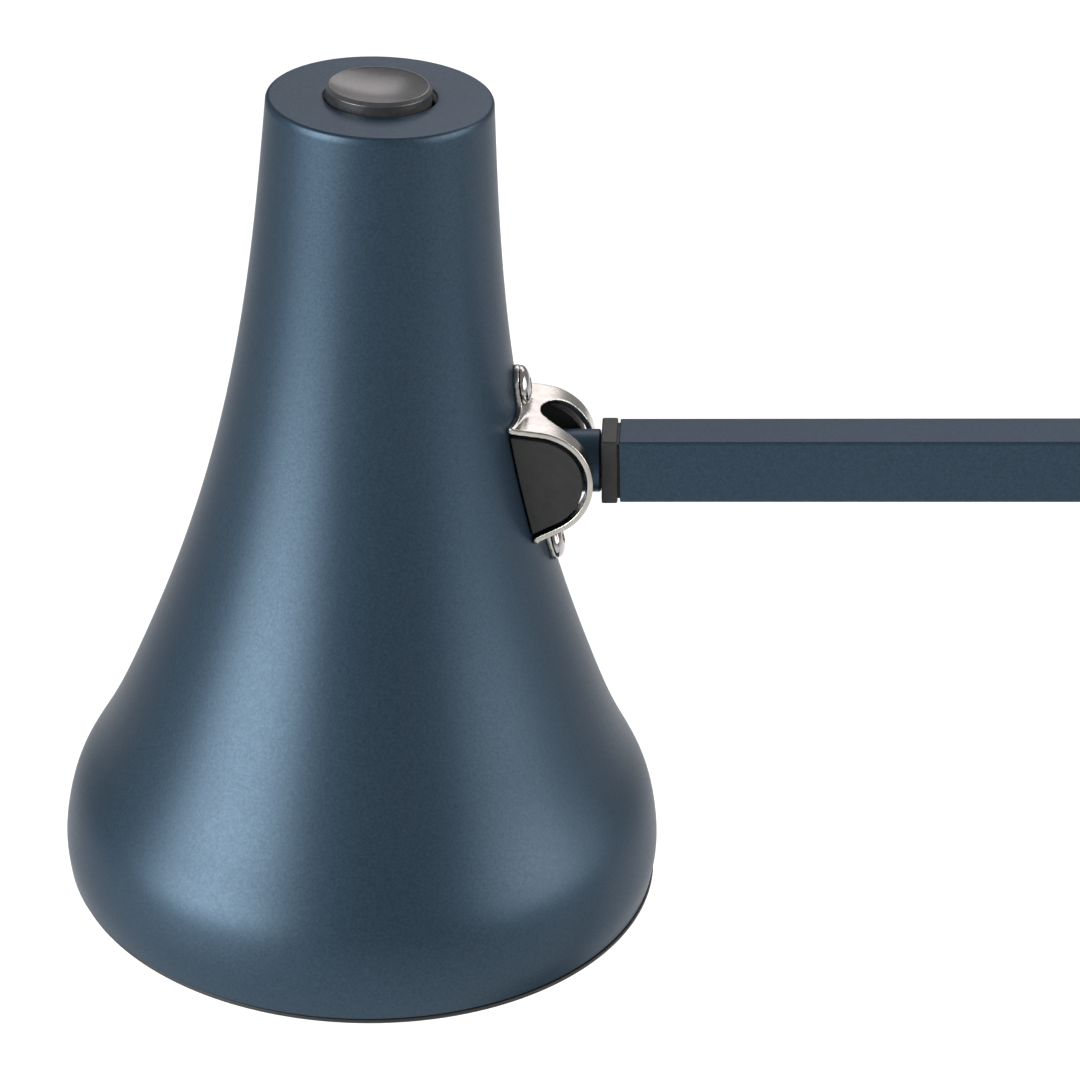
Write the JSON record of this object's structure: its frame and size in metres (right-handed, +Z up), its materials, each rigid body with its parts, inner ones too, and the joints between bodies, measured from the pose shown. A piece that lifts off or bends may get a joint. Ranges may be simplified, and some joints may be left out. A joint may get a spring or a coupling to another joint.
{
  "type": "desk lamp",
  "caption": "Architect desk lamp: tall flared shade with a cap button on a strap pivot, square-tube sprung arms with a parallel link, and a weighted round base.",
  "frame": {"origin": "centre of the base's underside, on the table", "axes": "+Z up, the arms lie in the XZ plane at rest, the head points towards -X"},
  "size_m": [0.2984, 0.13, 0.3256],
  "materials": {
    "navy_paint": "satin navy paint with a fine metallic fleck",
    "charcoal": "fine matt moulded charcoal",
    "button_charcoal": "satin charcoal",
    "nickel": "bright nickel plate",
    "steel": "plain zinc-plated steel",
    "spring_steel": "drawn spring wire",
    "cast_iron": "raw casting",
    "rubber": "matt rubber",
    "nylon": "natural nylon",
    "aluminium": "extruded, bare",
    "white_plastic": "moulded white",
    "opal": "opal, translucent",
    "board": "white solder mask on an aluminium board",
    "phosphor": "yellow phosphor chip",
    "brass": "plain"
  },
  "bodies": {
    "base": {"base_cover": "navy_paint", "base_weight": "cast_iron", "base_plate": "steel", "plate_screws": "steel", "base_pad": "rubber", "inlet_grommet": "rubber", "spindle": "steel", "swivel_washer": "nylon", "spindle_washer": "nylon", "spindle_nut": "steel"},
    "fork": {"swivel_bracket": "navy_paint", "bracket_bolts": "nickel", "bracket_nuts": "nickel", "bracket_washers": "nylon", "lower_anchor_pin": "nickel", "lower_anchor_spacer": "charcoal"},
    "lower_arm": {"lower_tube": "navy_paint", "lower_bottom_plug": "charcoal", "lower_top_plug": "charcoal", "lower_spring_pin": "nickel", "lower_springs": "spring_steel"},
    "link": {"link_rod": "navy_paint", "link_eyes": "charcoal"},
    "elbow": {"elbow_plate_near": "navy_paint", "elbow_plate_far": "navy_paint", "elbow_bolts": "nickel", "elbow_nuts": "nickel", "elbow_washers": "nylon", "upper_anchor_pin": "nickel", "upper_anchor_spacer": "charcoal"},
    "upper_arm": {"upper_tube": "navy_paint", "upper_front_plug": "charcoal", "upper_rear_plug": "charcoal", "upper_spring_pin": "nickel", "upper_springs": "spring_steel"},
    "stem": {"swivel_stem": "navy_paint", "stem_clip": "spring_steel"},
    "head": {"shade": "navy_paint", "rim_ring": "charcoal", "head_strap": "nickel", "cheek_near": "charcoal", "cheek_far": "charcoal", "tilt_pins": "steel", "strap_screws": "nickel", "strap_nuts": "steel", "led_bracket": "steel", "bracket_screw": "steel", "heat_sink": "aluminium", "led_board": "board", "led_chips": "phosphor", "reflector": "white_plastic", "diffuser": "opal", "diffuser_ring": "charcoal", "switch_body": "charcoal", "switch_terminals": "brass", "button_spring": "spring_steel"},
    "push_button": {"button": "button_charcoal"}
  },
  "joints": [
    {"name": "base_swivel", "type": "hinge", "parent": "base", "child": "fork", "pos_m": [0, 0, 0.0194], "axis": [0, 0, 1], "range_deg": [-170, 170]},
    {"name": "lower_arm_tilt", "type": "hinge", "parent": "fork", "child": "lower_arm", "pos_m": [0, 0, 0.052], "axis": [0, 1, 0], "range_deg": [-45, 30], "deforming": ["lower_springs"]},
    {"name": "link_swing", "type": "hinge", "parent": "fork", "child": "link", "pos_m": [0.016, 0, 0.052], "axis": [0, 1, 0], "range_deg": [-46, 31]},
    {"name": "elbow_level", "type": "hinge", "parent": "lower_arm", "child": "elbow", "pos_m": [0.07182, 0, 0.24934], "axis": [0, 1, 0], "range_deg": [-31, 46]},
    {"name": "upper_arm_tilt", "type": "hinge", "parent": "elbow", "child": "upper_arm", "pos_m": [0.07182, 0, 0.27134], "axis": [0, 1, 0], "range_deg": [-30, 60], "deforming": ["upper_springs"]},
    {"name": "head_swivel", "type": "hinge", "parent": "upper_arm", "child": "stem", "pos_m": [-0.12806, 0, 0.26453], "axis": [0.9994, 0, 0.034], "range_deg": [-94, 86]},
    {"name": "head_tilt", "type": "hinge", "parent": "stem", "child": "head", "pos_m": [-0.12806, 0, 0.26453], "axis": [-0.0024, 0.9975, 0.0702], "range_deg": [-24, 44]},
    {"name": "button_press", "type": "slide", "parent": "head", "child": "push_button", "axis": [-0.0327, 0.0701, -0.997], "range_m": [0, 0.0012], "stiffness_N_per_m": 900, "springref_m": -0.0006, "deforming": ["button_spring"]}
  ],
  "couplings": [
    {"joint": "link_swing", "follows": "lower_arm_tilt", "ratio": 1},
    {"joint": "elbow_level", "follows": "lower_arm_tilt", "ratio": -1}
  ]
}
